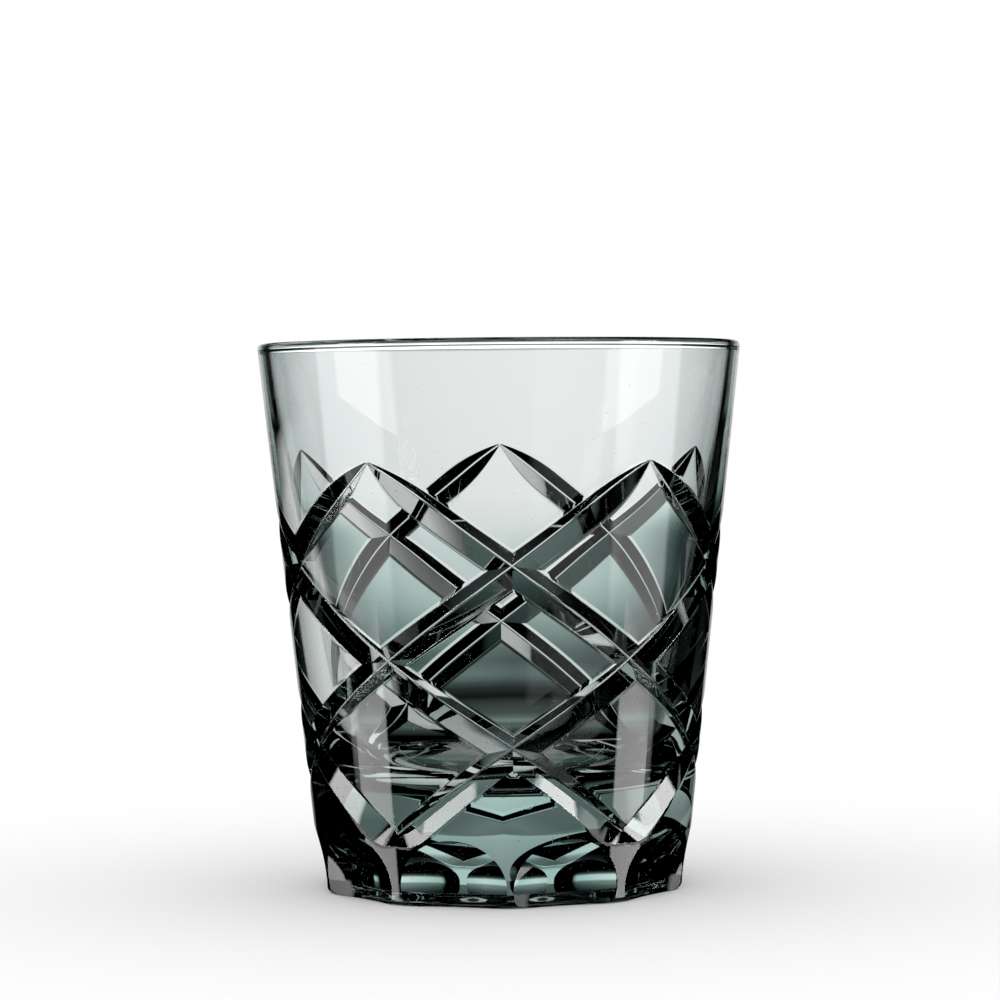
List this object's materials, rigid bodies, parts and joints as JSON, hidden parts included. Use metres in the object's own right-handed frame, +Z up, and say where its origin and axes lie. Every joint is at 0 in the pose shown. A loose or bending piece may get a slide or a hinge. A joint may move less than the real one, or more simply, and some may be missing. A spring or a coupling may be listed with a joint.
{
  "type": "whisky tumbler",
  "caption": "Heavy-based smoky cut-glass tumbler with a crossing mitre-cut lattice and thumbprint cuts round the heel.",
  "frame": {"origin": "centre of the foot, on the plane that the glass stands on", "axes": "+Z up along the glass's own axis; azimuth 0 faces -Y, where a thin stem between two thumbprints points, turned about 3 degrees towards +X"},
  "size_m": [0.0888, 0.0888, 0.1],
  "materials": {
    "smoke_glass": "fire-polished smoky grey-green glass, brighter polished wheel cuts"
  },
  "bodies": {
    "root": {"tumbler_glass": "smoke_glass"}
  },
  "joints": []
}
